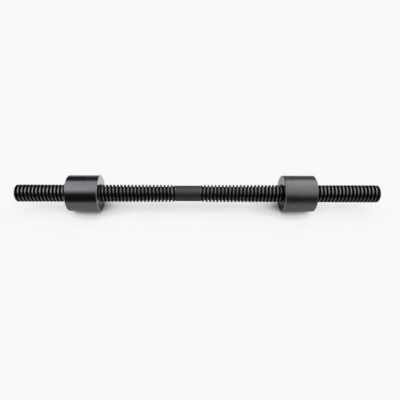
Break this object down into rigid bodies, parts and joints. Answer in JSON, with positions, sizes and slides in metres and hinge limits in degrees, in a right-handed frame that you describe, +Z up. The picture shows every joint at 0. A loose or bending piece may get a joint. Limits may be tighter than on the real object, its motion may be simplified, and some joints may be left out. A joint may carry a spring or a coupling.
{
  "type": "trapezoidal lead screw",
  "caption": "Blackened steel lead screw with right-hand and left-hand trapezoidal threads, a plain middle, and round nuts that close or part as the screw turns.",
  "frame": {"origin": "on the screw's axis, half way along the screw", "axes": "+X along the screw from the right-hand thread to the left-hand thread, +Z up as it lies on its nuts"},
  "size_m": [0.5, 0.05, 0.05],
  "materials": {
    "screw_steel": "rolled thread, blackened, satin with a film of oil",
    "nut_steel": "turned, blackened, satin"
  },
  "bodies": {
    "screw": {"screw": "screw_steel"},
    "left_nut": {"left_nut": "nut_steel"},
    "right_nut": {"right_nut": "nut_steel"}
  },
  "joints": [
    {"name": "left_nut_travel", "type": "slide", "parent": "screw", "child": "left_nut", "axis": [1, 0, 0], "range_m": [-0.07, 0.095]},
    {"name": "right_nut_travel", "type": "slide", "parent": "screw", "child": "right_nut", "axis": [1, 0, 0], "range_m": [-0.105, 0.085]}
  ],
  "couplings": [
    {"joint": "right_nut_travel", "follows": "left_nut_travel", "ratio": -1}
  ]
}
